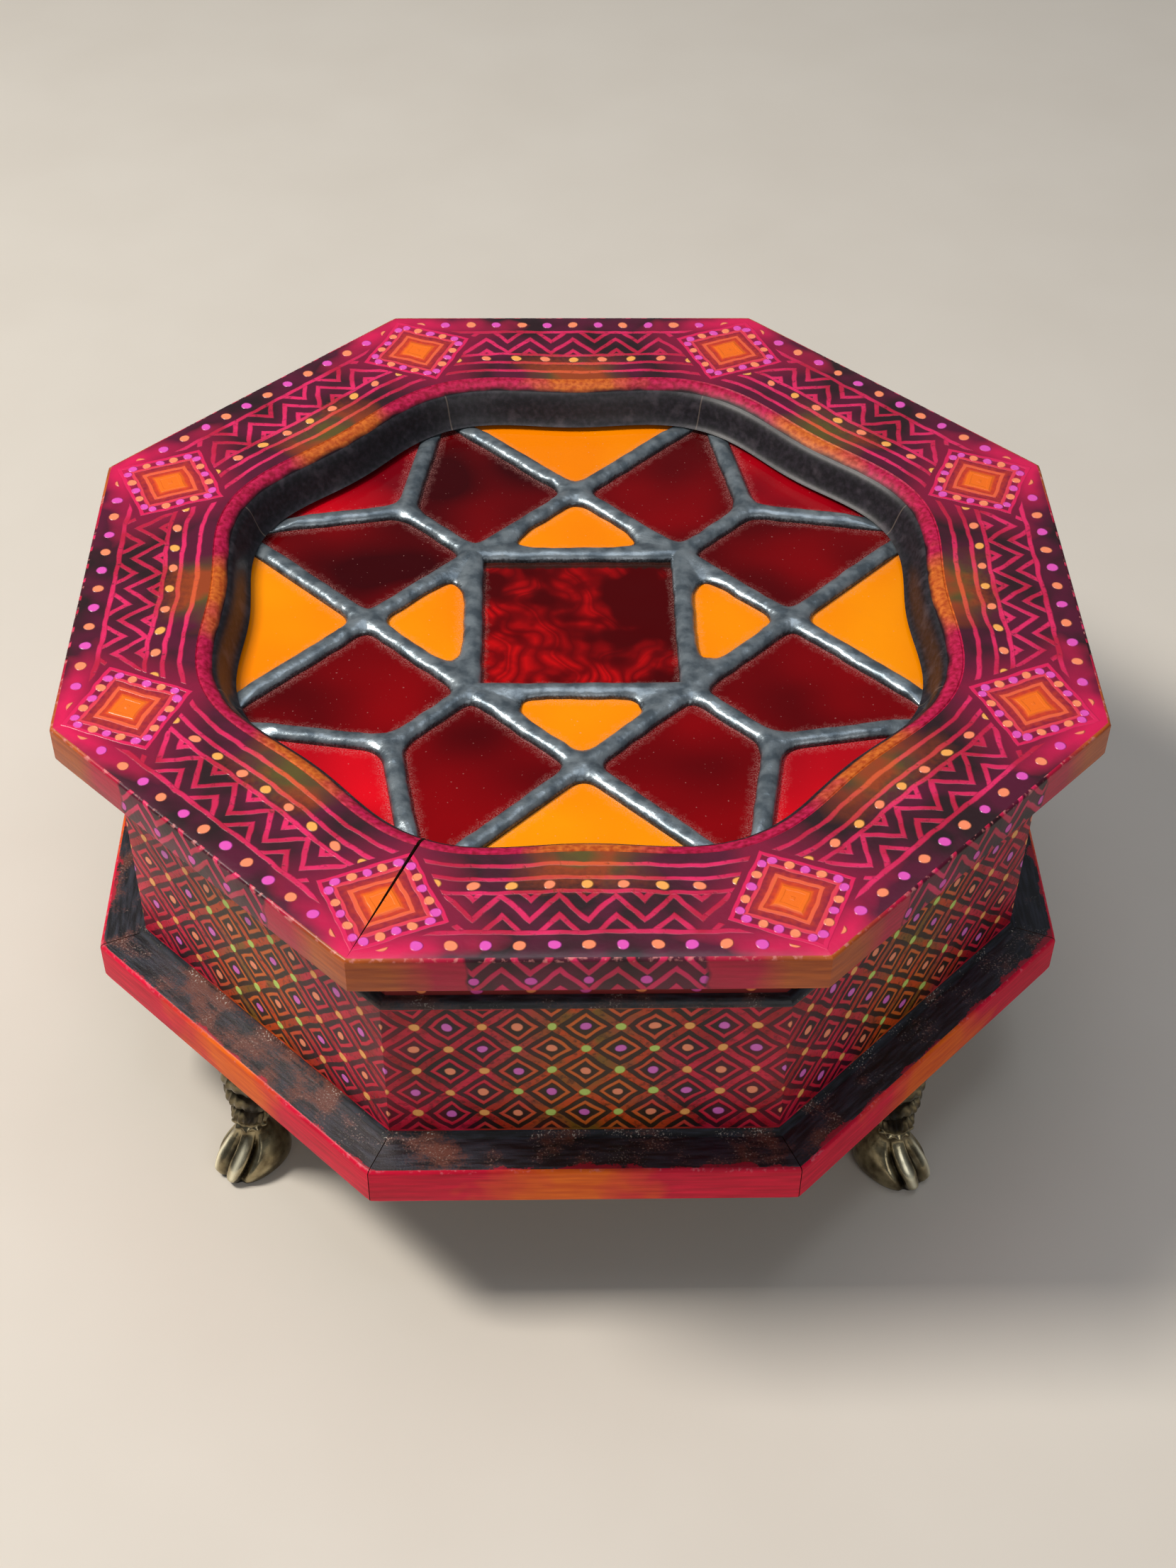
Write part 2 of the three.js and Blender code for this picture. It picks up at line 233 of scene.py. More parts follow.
def arc(apothem, level, radius, start, stop, steps=6):
    """Points along an arc in a board's section, as pairs of apothem and level."""
    turn = np.radians(np.linspace(start, stop, steps))
    return list(zip(apothem + radius * np.cos(turn), level + radius * np.sin(turn)))


def straight(zone, pairs):
    """Rows with straight runs along the side, for pairs of apothem and level."""
    return [(zone, octagon(apothem), level) for apothem, level in pairs]


def make_piece(name, points, faces, finishes, face_finish=None, fields=None, crease=40):
    """A mesh object from points in millimetres and faces of any number of corners. Each
    field gives three numbers for every point."""
    mesh = bpy.data.meshes.new(name)
    mesh.from_pydata((np.asarray(points) * MM).tolist(), [], faces)
    for finish in finishes:
        mesh.materials.append(finish.material)
    if face_finish is not None:
        mesh.polygons.foreach_set("material_index", np.asarray(face_finish, np.int32))
    for label, values in (fields or {}).items():
        field = mesh.attributes.new(label, "FLOAT_VECTOR", "POINT")
        field.data.foreach_set("vector", np.asarray(values, np.float32).ravel())
    mesh.shade_smooth()
    mesh.set_sharp_from_angle(angle=math.radians(crease))
    piece = bpy.data.objects.new(name, mesh)
    bpy.context.scene.collection.objects.link(piece)
    return piece


def board(name, side, rows, finishes, drawn_back=(0, 0)):
    """One of eight boards, mitred at both ends. A row is (zone, distance from the axis at
    each angle, level). The rows go round the section, up the outside and down the inside,
    and a zone's finish covers the strip from its row to the next. Each end may draw back
    from its mitre, by a distance for each row. The field Board holds each point's place
    along the side, out from the axis and up."""
    distance = np.array([row[1] for row in rows])
    level = np.array([np.broadcast_to(row[2], STEPS_ALONG) for row in rows])
    count, wide = distance.shape
    along, out = distance * np.sin(side_angle), distance * np.cos(side_angle)
    along[:, 0] += drawn_back[0]
    along[:, -1] -= drawn_back[1]
    turn = side * 2 * HALF_SIDE - math.pi / 2
    x = out * math.cos(turn) - along * math.sin(turn)
    y = out * math.sin(turn) + along * math.cos(turn)
    j, i = np.meshgrid(np.arange(count), np.arange(wide - 1), indexing="ij")
    k = (j + 1) % count
    quads = np.stack([j * wide + i, j * wide + i + 1, k * wide + i + 1, k * wide + i], -1)
    first = np.arange(count) * wide
    faces = quads.reshape(-1, 4).tolist() + [first.tolist(), (first + wide - 1)[::-1].tolist()]
    zones = list(finishes)
    face_finish = np.repeat([zones.index(row[0]) for row in rows], wide - 1).tolist()
    face_finish += [zones.index("cut")] * 2
    return make_piece(name, np.stack([x, y, level], -1).reshape(-1, 3), faces,
                      finishes.values(), face_finish,
                      {"Board": np.stack([along, out, level], -1).reshape(-1, 3)})


class Paint(Finish):
    """Brush painting on a board: strokes and dots are laid one over another, each a
    little raised, and they wander a little as a hand does."""

    def __init__(self, name, wander=0.5, size=7.0, **constants):
        super().__init__(name, Coat_Roughness=0.2, **constants)
        cloud = self.node("TexNoise", None, {"Vector": self.place, "Scale": 1 / size,
                                             "Detail": 1.5}).outputs["Color"]
        shift = self.node("VectorMath", {"operation": "SUBTRACT"},
                          {0: cloud, 1: (0.5, 0.5, 0.5)}).outputs[0]
        moved = self.node("VectorMath", {"operation": "MULTIPLY_ADD"},
                          {0: shift, 1: (wander * 3,) * 3, 2: self.field("Board")}).outputs[0]
        self.along, self.out, self.level = self.axes(moved)
        self.aside = abs(self.along)
        self.streaks = self.noise(1.3, 3.0)
        self.cloud = self.noise(13, 2.0)
        self.height = self.streaks * 0.35
        self.to_mitre = abs(self.out * math.sin(HALF_SIDE) - self.aside * math.cos(HALF_SIDE))
        self.colour = None

    def lay(self, mask, colour, thick=0.5):
        """Lays a colour where the mask is 1, and raises the surface there."""
        self.colour = self.mix(self.colour, colour, mask)
        if thick:
            self.height = mask * thick + self.height

    def dots(self, across, along, size, colour, where=1.0):
        """Round dots of thick paint, where two numbers are both close to 0."""
        mask = across.length(along).ramp(size / 2 + 0.15, size / 2 - 0.15)
        self.lay(mask * where, colour, 1.3)

    def dry(self, depth=0.16):
        return self.wear(Base_Color=self.colour, Normal=self.bump(self.height, depth))


def edge_paint(name, middle_level, height):
    """Brushed crimson that warms to orange at the middle of each side, with pale specks along the upper
    arris, which are partly rubbed wear and partly a painted highlight."""
    paint = Paint(name, 1.0, 9.0, Roughness=0.5, Coat_Weight=0.05, Specular_IOR_Level=0.2)
    brushed = paint.noise(2.0, 3.0, (0.15, 0.15, 2.0))
    crimson = paint.mix(srgb(186, 2, 42), srgb(238, 8, 62), brushed.ramp(0.25, 0.75))
    orange = paint.mix(srgb(214, 70, 8), srgb(246, 116, 20), brushed.ramp(0.25, 0.75))
    warm = (paint.aside + (paint.cloud - 0.5) * 40).ramp(24, 8)
    paint.colour = paint.mix(crimson, orange, warm)
    arris = (paint.level - middle_level).ramp(height / 2 - 0.75, height / 2 - 0.35)
    # pale specks on the upper arris: partly wear, partly a painted highlight
    paint.lay(arris * paint.noise(1.2, 3.0).ramp(0.54, 0.68) * 0.32, srgb(236, 150, 164), 0)
    return paint.dry(0.1)


def black_stain(name, worn=0.5, flecks=0.0, polish=0.35, painted_from=None):
    """Black stain, brushed along the board in blue grey streaks, which are partly brush marks and partly
    a painted sheen. It is rubbed through to red brown wood in patches, which grow towards the box's
    left, with pale flecks that are partly chips and partly painted glints. The edge's crimson may lap
    over it, from a distance out from the axis."""
    finish = Finish(name, Coat_Weight=polish, Coat_Roughness=0.28)
    on_board = finish.field("Board")
    cloud = finish.noise(8, 4.0)
    broad = finish.noise(30, 1.0)
    brushed = finish.noise(0.9, 4.0, (0.14, 1, 1), on_board)
    grit = finish.noise(0.5, 3.0)
    rubbed = cloud + (broad - 0.5) * 0.7 + (grit - 0.5) * 0.3 + (brushed - 0.5) * 0.3
    # the brown patches grow stronger towards the box's left, −x
    patches = (rubbed - finish.axes()[0] * 0.0009).ramp(0.53, 0.7) * worn
    # blue grey brush streaks: partly brush marks, partly a painted sheen
    colour = finish.mix(srgb(14, 13, 18), srgb(48, 52, 64), brushed.ramp(0.4, 0.7))
    colour = finish.mix(colour, srgb(104, 56, 42), patches)
    # pale flecks: partly chips, partly painted glints
    chips_and_glints = grit.ramp(0.58, 0.68) * cloud.ramp(0.5, 0.6) * flecks
    colour = finish.mix(colour, srgb(200, 194, 184), chips_and_glints)
    if painted_from:
        lap = finish.axes(on_board)[1] + (cloud - 0.5) * 8 + (grit + brushed - 1) * 1.6
        colour = finish.mix(colour, srgb(170, 14, 44), lap.ramp(painted_from, painted_from + 0.4))
    return finish.wear(Base_Color=colour, Roughness=brushed * 0.2 + (0.62 - 0.8 * polish),
                       Normal=finish.bump(brushed + grit * 0.6, 0.12))


raw_edge = wood_finish("raw_edge", (96, 62, 44), (58, 36, 28), (1, 1, 0.1))
base_low, base_high = node_box("base_moulding_front")
base_apothem, base_inner = -base_low[1], -base_high[1]
panel_low, panel_high = node_box("bottom_panel")
BASE_TOP_ROUND, BASE_BOTTOM_ROUND = 1.1, 1.4
base_finishes = {
    "edge": edge_paint("base_edge_paint", (base_low[2] + base_high[2]) / 2, 12),
    "top": black_stain("base_top_stain", 0.9, 0.35, 0.35, base_apothem - 1.2),
    "under": black_stain("base_under_stain", 0.3),
    "cut": raw_edge,
}
lower = (base_apothem - BASE_BOTTOM_ROUND, base_low[2] + BASE_BOTTOM_ROUND, BASE_BOTTOM_ROUND)
upper = (base_apothem - BASE_TOP_ROUND, base_high[2] - BASE_TOP_ROUND, BASE_TOP_ROUND)
base_rows = straight("edge", [*arc(*lower, -80, 0), *arc(*upper, 0, 60, 4)])
base_rows += straight("top", [*arc(*upper, 75, 90, 2), (panel_high[0], base_high[2]),
                              (panel_high[0], panel_low[2])])
base_rows += straight("under", [(base_inner, panel_low[2]), (base_inner, base_low[2]),
                                (base_apothem - BASE_BOTTOM_ROUND, base_low[2])])
for side, side_name in enumerate(SIDE_NAMES):
    piece = board(f"base_board_{side_name}", side, base_rows, base_finishes, (0.12, 0.12))
    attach(piece, "root")
    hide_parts(f"base_moulding_{side_name}")

# Claw feet: four castings in antique brass, each a clawed paw under a thin neck and a
# leafy bracket, screwed up into the base moulding at the slanting sides, a little
# to one side of each board's middle.

FOOT_HEIGHT = base_low[2]
FOOT_MIDDLE, FOOT_SLIP = 118.0, -3.0
FOOT_ROUND, FOOT_LEVELS = 144, 150
NECK_LEVEL, BEAD_LEVEL, BRACKET_LEVEL = 0.38, 0.435, 0.45
TOE_GROOVE, TOE_SWELL, LEAF_STEP, VEIN, BEAD = 1.8, 0.35, 2.4, 0.25, 0.9
LEAF_ROWS, VEINS, BEADS = 3, 24, 10
# Share of the height, middle's place out, depth, width, and the section's rounding
STATIONS = np.array([
    (0.00, 0.2, 20.5, 14.7, 2.2), (0.08, 0.3, 21.3, 15.6, 2.2), (0.16, 0.0, 19.6, 15.1, 2.1),
    (0.25, -0.3, 14.5, 12.2, 2.0), (0.32, -0.4, 10.4, 9.1, 2.0), (0.38, -0.3, 7.4, 7.0, 2.0),
    (0.45, -0.2, 7.8, 7.8, 1.9), (0.58, -1.0, 9.2, 10.5, 1.8), (0.72, -2.0, 12.2, 16.7, 1.7),
    (0.88, -3.9, 16.6, 26.2, 1.5), (1.00, -5.4, 20.0, 34.0, 1.4)])


def between_stations(up):
    """Each size at a share of the height: cubic steps from station to station, where the
    slope at a station is that of the line between its neighbours."""
    last = len(STATIONS) - 1
    i = np.clip(np.searchsorted(STATIONS[:, 0], up) - 1, 0, last - 1)
    a, b = STATIONS[i], STATIONS[i + 1]
    before, after = STATIONS[np.maximum(i - 1, 0)], STATIONS[np.minimum(i + 2, last)]
    span = (b - a)[:, :1]
    t = (up[:, None] - a[:, :1]) / span
    slope_a = (b - before) / (b - before)[:, :1] * span
    slope_b = (after - a) / (after - a)[:, :1] * span
    sizes = ((2 * t ** 3 - 3 * t ** 2 + 1) * a + (t ** 3 - 2 * t ** 2 + t) * slope_a
             + (3 * t ** 2 - 2 * t ** 3) * b + (t ** 3 - t ** 2) * slope_b)
    return sizes[:, 1:]


def slide(value, zero, one):
    """0 at zero, 1 at one, straight between and held beyond."""
    return np.clip((value - zero) / (one - zero), 0, 1)


def claw_foot(name, side, finish):
    """A foot lofted upwards: each level is a super ellipse. A groove of a bell curve down the middle
    parts the two toes, and one on each side, which swings forward on its way down, parts a toe from the
    paw's side. Three arched steps and a fan of veins make the leaves of the bracket, and a ring of beads
    goes round the neck. A field on the mesh holds how dark the brass is, from patina in the grooves and
    leaf recesses, a darker bottom edge and a darker bracket. It also holds a painted glint: a narrow
    bright streak down the ridge of each toe, which stands in for a highlight."""
    up = np.linspace(0, 1, FOOT_LEVELS)
    out, depth, width, rounding = between_stations(up).T[..., None]
    turn = np.linspace(0, 2 * math.pi, FOOT_ROUND, endpoint=False)
    c, s = np.cos(turn), np.sin(turn)
    aside = np.abs((turn + math.pi) % (2 * math.pi) - math.pi)
    up = up[:, None]
    paw = slide(up, NECK_LEVEL, 0.26)
    side_groove = 0.6 + 0.6 * slide(up, 0.03, 0.36)
    groove = (0.8 * np.exp(-(aside / 0.13) ** 2)
              + np.exp(-((aside - side_groove) / 0.13) ** 2)) * slide(up, -0.04, 0.06)
    toe = np.exp(-((aside - side_groove / 2) / 0.2) ** 2) * slide(up, 0, 0.08)
    bracket = slide(up, BRACKET_LEVEL, 0.52)
    step = np.abs(np.sin(LEAF_ROWS * math.pi * slide(up, BRACKET_LEVEL, 1))) ** 0.8
    leaf = 0.65 + 0.35 * np.cos(4 * turn)
    veins = np.cos(VEINS * turn) * (0.3 + 0.7 * step)
    # painted glint: a narrow bright streak down the ridge of each toe, a painted highlight
    painted_glint = (np.exp(-((aside - side_groove / 2) / 0.12) ** 2) * slide(up, 0.03, 0.09)
             * slide(up, 0.36, 0.26))
    bead = np.exp(-((up - BEAD_LEVEL) / 0.02) ** 2)
    claw = np.exp(-((up - 0.06) / 0.035) ** 2)
    relief = (paw * (TOE_SWELL * toe * (1 + claw) - TOE_GROOVE * groove)
              - 0.5 * slide(up, 0.03, 0)
              + bracket * (LEAF_STEP * (step - 0.5) * leaf + VEIN * bracket * veins)
              + bead * (BEAD + 0.35 * np.cos(BEADS * turn)))
    # darkening: patina deep in the grooves and leaf recesses, plus a darker bottom edge and a bracket
    # that is darker all over
    darkening = (slide(relief, -0.1, -1.9) * paw + 0.8 * slide(step * leaf, 0.6, 0.1) * bracket
              + slide(up, 0.04, 0) + 0.45 * bracket)
    x = FOOT_MIDDLE + out + np.sign(c) * np.abs(c) ** (2 / rounding) * depth / 2 + relief * c
    y = FOOT_SLIP + np.sign(s) * np.abs(s) ** (2 / rounding) * width / 2 + relief * s
    z = np.broadcast_to(up * FOOT_HEIGHT, x.shape)
    way = side * 2 * HALF_SIDE - math.pi / 2
    points = np.stack([x * math.cos(way) - y * math.sin(way),
                       x * math.sin(way) + y * math.cos(way), z], -1).reshape(-1, 3)
    j, i = np.meshgrid(np.arange(FOOT_LEVELS - 1), np.arange(FOOT_ROUND), indexing="ij")
    k = (i + 1) % FOOT_ROUND
    quads = np.stack([j * FOOT_ROUND + i, j * FOOT_ROUND + k,
                      (j + 1) * FOOT_ROUND + k, (j + 1) * FOOT_ROUND + i], -1)
    top = (FOOT_LEVELS - 1) * FOOT_ROUND + np.arange(FOOT_ROUND)
    faces = quads.reshape(-1, 4).tolist() + [np.arange(FOOT_ROUND)[::-1].tolist(), top.tolist()]
    field = np.stack([darkening, painted_glint, 0 * painted_glint], -1).reshape(-1, 3)
    return make_piece(name, points, faces, [finish], fields={"DarkeningAndPaintedGlint": field}, crease=50)


antique_brass = Finish("antique_brass")
tarnish = antique_brass.noise(3.5, 4.0)
darkening, painted_glint, _ = antique_brass.axes(antique_brass.field("DarkeningAndPaintedGlint"))
brass = antique_brass.mix(srgb(168, 156, 124), srgb(104, 92, 70), tarnish.ramp(0.38, 0.66))
brass = antique_brass.mix(brass, srgb(34, 28, 21), (darkening + (tarnish - 0.5) * 0.3).ramp(0.1, 0.9))
# painted glint: the toe ridges turn bright and less metallic, a painted highlight
brass = antique_brass.mix(brass, srgb(255, 248, 216), painted_glint)
antique_brass.wear(Base_Color=brass, Roughness=tarnish * 0.12 + 0.17 + darkening * 0.2,
                   Metallic=1 - painted_glint * 0.5,
                   Normal=antique_brass.bump(antique_brass.noise(1.2, 2.0), 0.03))
for side in (1, 3, 5, 7):
    piece = claw_foot(f"brass_claw_foot_{SIDE_NAMES[side]}", side, antique_brass)
    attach(piece, "root")
    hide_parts(f"claw_foot_{SIDE_NAMES[side]}")

# Walls: eight mitred boards, painted outside with a trellis of crossing bands, small
# diamonds and dots. The top is black, with a worn round arris, and the inside is bare.

wall_low, wall_high = node_box("wall_front")
wall_inner, wall_top = -wall_high[1], wall_high[2]
wall_foot = base_high[2]
WALL_ROUND, WALL_COVE = 2.2, 1.8
wall_apothem = -wall_low[1] - WALL_COVE
TRELLIS = (wall_top - wall_foot) / 3
DIAMOND_REACH, BORDER_REACH = 4.0, 22.4
DIAGONAL = math.sqrt(0.5)


def trellis_paint():
    """Bands cross where both diagonals are odd half multiples of the pitch, and the cells
    between them hold a small diamond and a dot."""
    paint = Paint("wall_paint", 0.55, 7.0, Roughness=0.4, Coat_Weight=0.08,
                  Specular_IOR_Level=0.3)
    rise = paint.level - (wall_foot + wall_top) / 2
    one, two = paint.along + rise, paint.along - rise
    warm = (paint.aside + (paint.cloud - 0.5) * 26).ramp(25, 6)
    haze = (paint.aside + (paint.cloud - 0.5) * 30).ramp(30, 48)
    dark = paint.mix(srgb(30, 8, 14), srgb(64, 6, 28), paint.cloud.ramp(0.4, 0.6))
    dark = paint.mix(dark, srgb(120, 8, 38), haze * 0.7)
    paint.colour = paint.mix(dark, srgb(56, 36, 8), warm * 0.8)
    red = paint.mix(srgb(168, 10, 30), srgb(216, 24, 64), paint.cloud.ramp(0.42, 0.62))
    gold = paint.mix(srgb(208, 74, 12), srgb(132, 90, 18), paint.cloud.ramp(0.44, 0.56))
    stroke = paint.mix(red, gold, warm)
    band_one = (one + TRELLIS / 2).repeat(TRELLIS)
    band_two = (two + TRELLIS / 2).repeat(TRELLIS)
    cell_one, cell_two = one.repeat(TRELLIS), two.repeat(TRELLIS)
    bands = band_one.near(2.7).high(band_two.near(2.7))
    paint.lay(bands * paint.streaks.ramp(0.2, 0.5), stroke)
    thin = paint.mix(srgb(214, 28, 60), srgb(218, 104, 34), warm)
    paint.lay((abs(cell_one).high(abs(cell_two)) - DIAMOND_REACH).near(1.25, 0.2), thin)
    paint.lay((abs(rise) - BORDER_REACH).near(1.3), stroke)
    salmon_or_violet = paint.mix(srgb(252, 150, 112), srgb(226, 110, 204), one.odd(TRELLIS))
    paint.dots(cell_one * DIAGONAL, cell_two * DIAGONAL, 2.5, salmon_or_violet)
    gold_or_green = paint.mix(srgb(250, 176, 96), srgb(196, 222, 110), paint.aside.ramp(20, 18))
    paint.dots(band_one * DIAGONAL, band_two * DIAGONAL, 2.4, gold_or_green,
               abs(rise).ramp(20, 19))
    return paint.dry()


wall_finishes = {
    "paint": trellis_paint(),
    "black": black_stain("wall_top_stain", 0.4, 0.45, 0.2),
    "seam": black_stain("wall_seam_stain", 1.0, 0.8, 0.0),
    "inside": wood_finish("inside_wood", (176, 138, 96), (138, 98, 62), (1, 1, 0.08)),
    "cut": raw_edge,
}
cove = (wall_apothem + WALL_COVE, wall_foot + WALL_COVE, WALL_COVE)
arris = (wall_apothem - WALL_ROUND, wall_top - WALL_ROUND, WALL_ROUND)
wall_rows = straight("seam", arc(*cove, -90, -150, 4))
wall_rows += straight("paint", [*arc(*cove, -165, -180, 2), *arc(*arris, 0, 0, 1)])
wall_rows += straight("black", arc(*arris, 12, 90, 6))
wall_rows += straight("inside", [(wall_inner, wall_top)])
wall_rows += straight("black", [(wall_inner, wall_foot)])
for side, side_name in enumerate(SIDE_NAMES):
    piece = board(f"wall_board_{side_name}", side, wall_rows, wall_finishes)
    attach(piece, "root")
    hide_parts(f"wall_{side_name}")

# Lid rim: eight narrow boards under the lid frame, painted where they show. A tongue
# drops inside the walls and keeps the lid in place, and a ledge carries the panel.

rim_low, rim_high = node_box("lid_rim_front")
frame_low, frame_high = node_box("lid_frame_front")
lattice_low, lattice_high = node_box("lead_lattice")
rim_apothem, rim_inner = -rim_low[1], -rim_high[1]
LID_PLAY, PANEL_PLAY = 0.4, 0.3
BAR_PITCH, BAR_LEVEL = 6.2, 9.5
tongue_apothem = wall_inner - LID_PLAY
ledge_apothem, ledge_level = lattice_high[0] + PANEL_PLAY, lattice_low[2] - PANEL_PLAY


def rim_paint():
    """Upright bars over a line, and a row of dots in two colours under it."""
    paint = Paint("rim_paint", 0.5, 6.0, Roughness=0.42, Specular_IOR_Level=0.3)
    rise = paint.level - wall_top
    colour = paint.mix(srgb(40, 10, 18), srgb(92, 12, 38), paint.cloud.ramp(0.4, 0.62))
    paint.colour = paint.mix(colour, srgb(128, 40, 40), rise.ramp(4.0, 3.4))
    red = paint.mix(srgb(176, 18, 52), srgb(214, 40, 100), paint.streaks.ramp(0.35, 0.65))
    paint.lay(paint.along.repeat(BAR_PITCH).near(1.3) * (rise - BAR_LEVEL).near(6), red)
    paint.lay((rise - 4.6).near(1.2).high((rise - 14.4).near(1.2)), red)
    pitch = 2 * BAR_PITCH
    pink_or_orange = paint.mix(srgb(226, 84, 160), srgb(244, 136, 84), paint.along.odd(pitch))
    paint.dots(paint.along.repeat(pitch), rise - 1.7, 2.5, pink_or_orange)
    return paint.dry()


rim_finishes = {"paint": rim_paint(), "black": black_stain("rim_stain", 0.3), "cut": raw_edge}
rim_rows = straight("black", [(rim_inner, rim_low[2]), (tongue_apothem, rim_low[2]),
                              (tongue_apothem, wall_top)])
rim_rows += straight("paint", [(rim_apothem, wall_top)])
rim_rows += straight("black", [(rim_apothem, frame_low[2]), (ledge_apothem, frame_low[2]),
                               (ledge_apothem, ledge_level), (rim_inner, ledge_level)])
for side, side_name in enumerate(SIDE_NAMES):
    piece = board(f"rim_board_{side_name}", side, rim_rows, rim_finishes)
    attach(piece, "root")
    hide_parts(f"lid_rim_{side_name}")

# Lead lattice: half-round cames soldered into one web. Solder pools at the joints,
# fills the corners of the openings, and stands in low collars where a joint ends.

CAME_HALF, HEART_HALF, CAME_EDGE = 2.5, 0.6, 0.38
SAMPLE = 0.85
SIGHT_RADIUS, SIGHT_WAVE, SIGHT_FADE = 86.5, 2.8, 3.5
panel_middle = (lattice_low[2] + lattice_high[2]) / 2
came_rise = (lattice_high[2] - lattice_low[2]) / 2
glass_low, glass_high = node_box("glass_centre")
glass_rise = (glass_high[2] - glass_low[2]) / 2
panel_apothem = lattice_high[0] - CAME_HALF
CORNER = panel_apothem * math.tan(HALF_SIDE)
SQUARE = (panel_apothem - CORNER) / 2
FORK = panel_apothem / 2
quarter_turns = [np.array([[math.cos(a), math.sin(a)], [-math.sin(a), math.cos(a)]])
                 for a in np.arange(4) * math.pi / 2]
# Corners of each kind of opening, the edge that lies on the border if any, and how
# far the solder fills each corner
OPENINGS = [
    ([(SQUARE, SQUARE), (0, 2 * SQUARE), (-SQUARE, SQUARE)], None, (14, 5, 14)),
    ([(0, 2 * SQUARE), (CORNER, panel_apothem), (-CORNER, panel_apothem)], 1, (5, 4, 4)),
    ([(SQUARE, SQUARE), (2 * SQUARE, 0), (panel_apothem, CORNER), (FORK, FORK)], None,
     (4, 4, 4, 5)),
    ([(SQUARE, SQUARE), (FORK, FORK), (CORNER, panel_apothem), (0, 2 * SQUARE)], None,
     (4, 5, 4, 4)),
    ([(FORK, FORK), (panel_apothem, CORNER), (CORNER, panel_apothem)], 1, (5, 4, 4)),
]
joints = np.concatenate([np.array([(SQUARE, SQUARE), (0, 2 * SQUARE), (FORK, FORK),
                                   (CORNER, panel_apothem), (-CORNER, panel_apothem)]) @ turn
                         for turn in quarter_turns])


def unit(vectors):
    return vectors / np.linalg.norm(vectors, axis=-1, keepdims=True)


def inset(points, distances):
    """An outline whose edges have each moved to their left by their own distance."""
    way = unit(np.roll(points, -1, 0) - points)
    base = points + np.stack([-way[:, 1], way[:, 0]], -1) * np.reshape(distances, (-1, 1))
    gap, last_way = np.roll(base, 1, 0) - base, np.roll(way, 1, 0)
    cross = way[:, 0] * last_way[:, 1] - way[:, 1] * last_way[:, 0]
    along = (gap[:, 0] * last_way[:, 1] - gap[:, 1] * last_way[:, 0]) / cross
    return base + along[:, None] * way


def sampled(corners, counts, fill=()):
    """Points along an outline, a number of them from each corner to the next. Within a
    fill's reach of its corner they follow the parabola that touches both its edges."""
    fill = fill or (0,) * len(corners)
    rows = []
    for at, count in enumerate(counts):
        here, there = corners[at], corners[(at + 1) % len(corners)]
        before, after = corners[at - 1], corners[(at + 2) % len(corners)]
        share = np.arange(count)[:, None] / count
        length = np.linalg.norm(there - here)
        way = unit(there - here)
        place = here + share * (there - here)
        for reach, bend, along in ((fill[at], unit(before - here) + way, share),
                                   (fill[(at + 1) % len(corners)], unit(after - there) - way,
                                    1 - share)):
            reach = max(min(reach, length / 2), 1e-6)
            place = place + reach / 4 * np.clip(1 - along * length / reach, 0, 1) ** 2 * bend
        rows.append(place)
    return np.concatenate(rows)


def lumps(place, size, seed):
    """Smooth unevenness from -1 to 1: products of slow waves in slanting directions."""
    x, y = place[..., 0] / size, place[..., 1] / size
    one = np.sin(x * 1.1 + y * 0.7 + seed) * np.sin(y * 1.3 - x * 0.5 + 2 * seed)
    two = np.sin(x * 2.3 - y * 1.9 + 3 * seed) * np.sin(y * 2.1 + x * 1.7 + 5 * seed)
    return 0.65 * one + 0.35 * two


def lead_levels(place, share):
    """Height of the lead over the panel's middle, for a share of the way from a came's
    middle line to its edge: a low half circle, raised by solder near a joint, with a
    collar at the end of each joint and a hand's unevenness all over. It sinks under the
    lid frame, past the wavy opening that it is seen through."""
    off = np.linalg.norm(place[:, None, :] - joints, axis=-1).min(-1)
    wave = np.cos(8 * np.arctan2(place[:, 1], place[:, 0]))
    in_sight = slide(np.linalg.norm(place, axis=-1) + SIGHT_WAVE * wave,
                     SIGHT_RADIUS, SIGHT_RADIUS - SIGHT_FADE)
    solder = 0.3 * np.exp(-(off / 5.5) ** 2)
    collar = 0.24 * np.exp(-((off - 8 - 1.5 * lumps(place, 17, 0.4)) / 0.6) ** 2)
    collar = collar * slide(lumps(place, 9, 2.1), -0.1, 0.25)
    crown = 2.5 + in_sight * (1.1 + solder + collar + 0.16 * lumps(place, 2.6, 1.0))
    edge = glass_rise + CAME_EDGE
    return edge + (crown - edge) * math.sqrt(1 - min(share, 1) ** 2)


